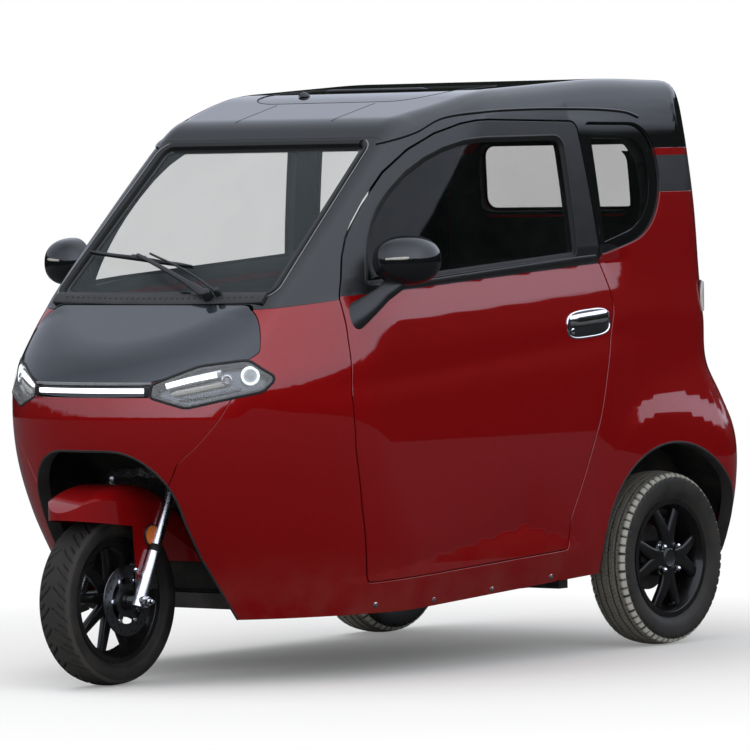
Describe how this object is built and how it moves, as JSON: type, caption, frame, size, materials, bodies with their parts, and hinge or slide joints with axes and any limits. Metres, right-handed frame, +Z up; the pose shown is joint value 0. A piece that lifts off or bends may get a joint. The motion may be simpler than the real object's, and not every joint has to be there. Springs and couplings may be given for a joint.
{
  "type": "three wheeled cabin car",
  "caption": "Small enclosed car on three wheels: one fork-steered wheel under the nose, a driven axle behind, side doors and a rear boot lid.",
  "frame": {"origin": "on the ground under the middle of the car's length and width", "axes": "+Z up, -Y towards the front of the car, +X towards the car's left side"},
  "size_m": [1.452, 2.3635, 1.6101],
  "materials": {
    "red_paint": "deep red metallic, glossy",
    "black_paint": "black, glossy",
    "slate_paint": "dark slate grey, satin gloss",
    "dark_glass": "tinted",
    "clear_glass": "clear",
    "lamp_glass": "clear lens",
    "tail_lens": "pale lens",
    "frame_steel": "black, satin",
    "black_plastic": "black, satin",
    "seat_cover": "black, soft",
    "tyre": "dusty black",
    "rim_paint": "black, gloss",
    "fork_metal": "satin silver",
    "bright_metal": "polished"
  },
  "bodies": {
    "car_body": {"battery_pack": "black_plastic", "bonnet": "slate_paint", "chassis_frame": "frame_steel", "dashboard": "black_plastic", "driver_seat": "seat_cover", "floor_pan": "black_plastic", "front_side_left": "red_paint", "front_side_right": "red_paint", "front_wheelhouse": "black_plastic", "headlamps": "lamp_glass", "light_bar": "lamp_glass", "nose_panel": "red_paint", "quarter_glasses": "dark_glass", "rear_axle": "frame_steel", "rear_band": "black_paint", "rear_quarter_left": "red_paint", "rear_quarter_right": "red_paint", "rear_seat": "seat_cover", "rear_springs": "frame_steel", "rear_wheelhouses": "black_plastic", "roof_panel": "black_paint", "steering_head": "frame_steel", "tail_lamps": "tail_lens", "tail_panel": "red_paint", "windscreen_glass": "clear_glass", "windscreen_surround": "black_paint", "wiper": "black_plastic"},
    "steering": {"fork": "fork_metal", "handlebar": "frame_steel", "front_mudguard": "red_paint"},
    "front_wheel": {"front_tyre": "tyre", "front_rim": "rim_paint"},
    "rear_wheel_left": {"rear_tyre_left": "tyre", "rear_rim_left": "rim_paint"},
    "rear_wheel_right": {"rear_tyre_right": "tyre", "rear_rim_right": "rim_paint"},
    "left_door": {"door_left": "red_paint", "door_glass_left": "dark_glass", "door_handle_left": "bright_metal", "door_mirror_left": "black_paint"},
    "right_door": {"door_right": "red_paint", "door_glass_right": "dark_glass", "door_handle_right": "bright_metal", "door_mirror_right": "black_paint"},
    "boot": {"boot_lid": "red_paint", "rear_window": "dark_glass"}
  },
  "joints": [
    {"name": "steering_turn", "type": "hinge", "parent": "car_body", "child": "steering", "pos_m": [0, -0.94, 0.2295], "axis": [0, 0.4462, 0.8949], "range_deg": [-30, 30]},
    {"name": "front_wheel_spin", "type": "hinge", "parent": "steering", "child": "front_wheel", "pos_m": [0, -0.9525, 0.2295], "axis": [1, 0, 0], "continuous": true},
    {"name": "rear_wheel_left_spin", "type": "hinge", "parent": "car_body", "child": "rear_wheel_left", "pos_m": [0.505, 0.8325, 0.247], "axis": [1, 0, 0], "continuous": true},
    {"name": "rear_wheel_right_spin", "type": "hinge", "parent": "car_body", "child": "rear_wheel_right", "pos_m": [-0.505, 0.8325, 0.247], "axis": [1, 0, 0], "continuous": true},
    {"name": "left_door_swing", "type": "hinge", "parent": "car_body", "child": "left_door", "pos_m": [0.556, -0.585, 0.65], "axis": [0.0576, 0, -0.9983], "range_deg": [0, 65]},
    {"name": "right_door_swing", "type": "hinge", "parent": "car_body", "child": "right_door", "pos_m": [-0.556, -0.585, 0.65], "axis": [0.0576, 0, 0.9983], "range_deg": [0, 65]},
    {"name": "boot_lid_lift", "type": "hinge", "parent": "car_body", "child": "boot", "pos_m": [0, 1.083, 1.466], "axis": [1, 0, 0], "range_deg": [0, 78]}
  ]
}
